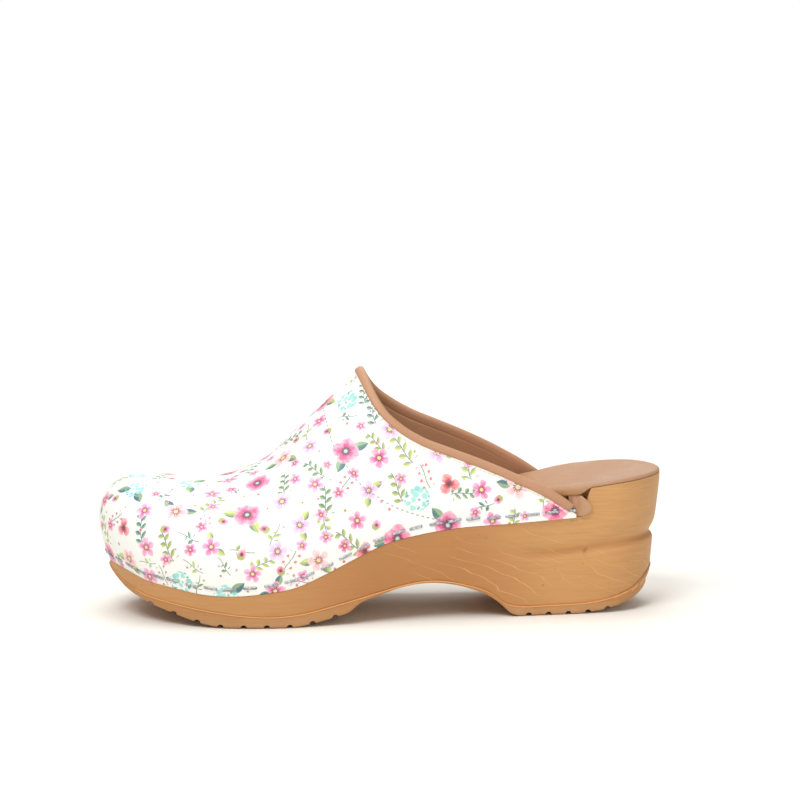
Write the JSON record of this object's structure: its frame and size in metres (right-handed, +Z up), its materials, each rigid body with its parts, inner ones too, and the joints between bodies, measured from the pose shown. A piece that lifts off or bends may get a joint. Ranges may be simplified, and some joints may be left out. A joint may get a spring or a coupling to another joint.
{
  "type": "clog",
  "caption": "Closed-toe clog with an open back: a floral printed leather upper stapled to a moulded wood-look sole with a block heel and a leather footbed.",
  "frame": {"origin": "on the ground, under the middle of the clog's length and width", "axes": "+X towards the heel, -X towards the toe, -Y the outer side of the foot, +Z up"},
  "size_m": [0.2655, 0.1066, 0.1158],
  "materials": {
    "sole": "moulded, wood-look, satin",
    "outsole": "moulded, satin",
    "steel": "rolled strip",
    "foam": "cut foam",
    "sock_leather": "matt",
    "printed_leather": "coated, printed with small flowers",
    "stiffener": "stiffened felt",
    "lining_leather": "matt",
    "edge_leather": "smooth, rolled",
    "cord": "twisted",
    "staple_steel": "zinc plated",
    "thread": "twisted"
  },
  "bodies": {
    "root": {"sole_body": "sole", "outsole": "outsole", "shank": "steel", "footbed_foam": "foam", "footbed_cover": "sock_leather", "upper_vamp": "printed_leather", "toe_puff": "stiffener", "vamp_lining": "lining_leather", "topline_binding": "edge_leather", "binding_cord": "cord", "staples_toe": "staple_steel", "staples_lateral": "staple_steel", "staples_medial": "staple_steel", "staples_corner": "staple_steel", "topline_stitching": "thread", "instep_stitching": "thread"}
  },
  "joints": []
}
